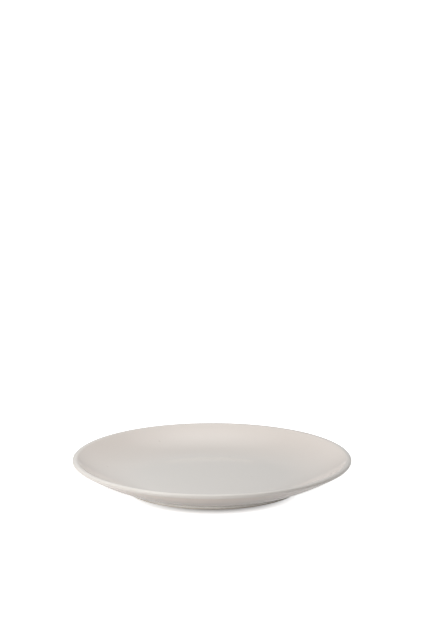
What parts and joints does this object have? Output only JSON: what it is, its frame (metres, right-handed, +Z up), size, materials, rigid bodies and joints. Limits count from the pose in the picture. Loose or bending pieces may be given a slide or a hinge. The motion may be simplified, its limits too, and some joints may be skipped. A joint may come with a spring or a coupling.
{
  "type": "coupe dinner plate",
  "caption": "Round rimless plate with a flat well, a wall that curves up to a rounded lip and a low foot ring, for serving a meal.",
  "frame": {"origin": "centre of the foot ring, on the surface that the plate stands on", "axes": "+Z up along the plate's axis; the plate is the same all round, so +X and +Y are free"},
  "size_m": [0.27, 0.27, 0.0278],
  "materials": {
    "clay": "matte",
    "face_glaze": "gloss",
    "back_glaze": "gloss",
    "base_glaze": "gloss"
  },
  "bodies": {
    "root": {"clay_body": "clay", "face_glaze": "face_glaze", "back_glaze": "back_glaze", "base_glaze": "base_glaze"}
  },
  "joints": []
}
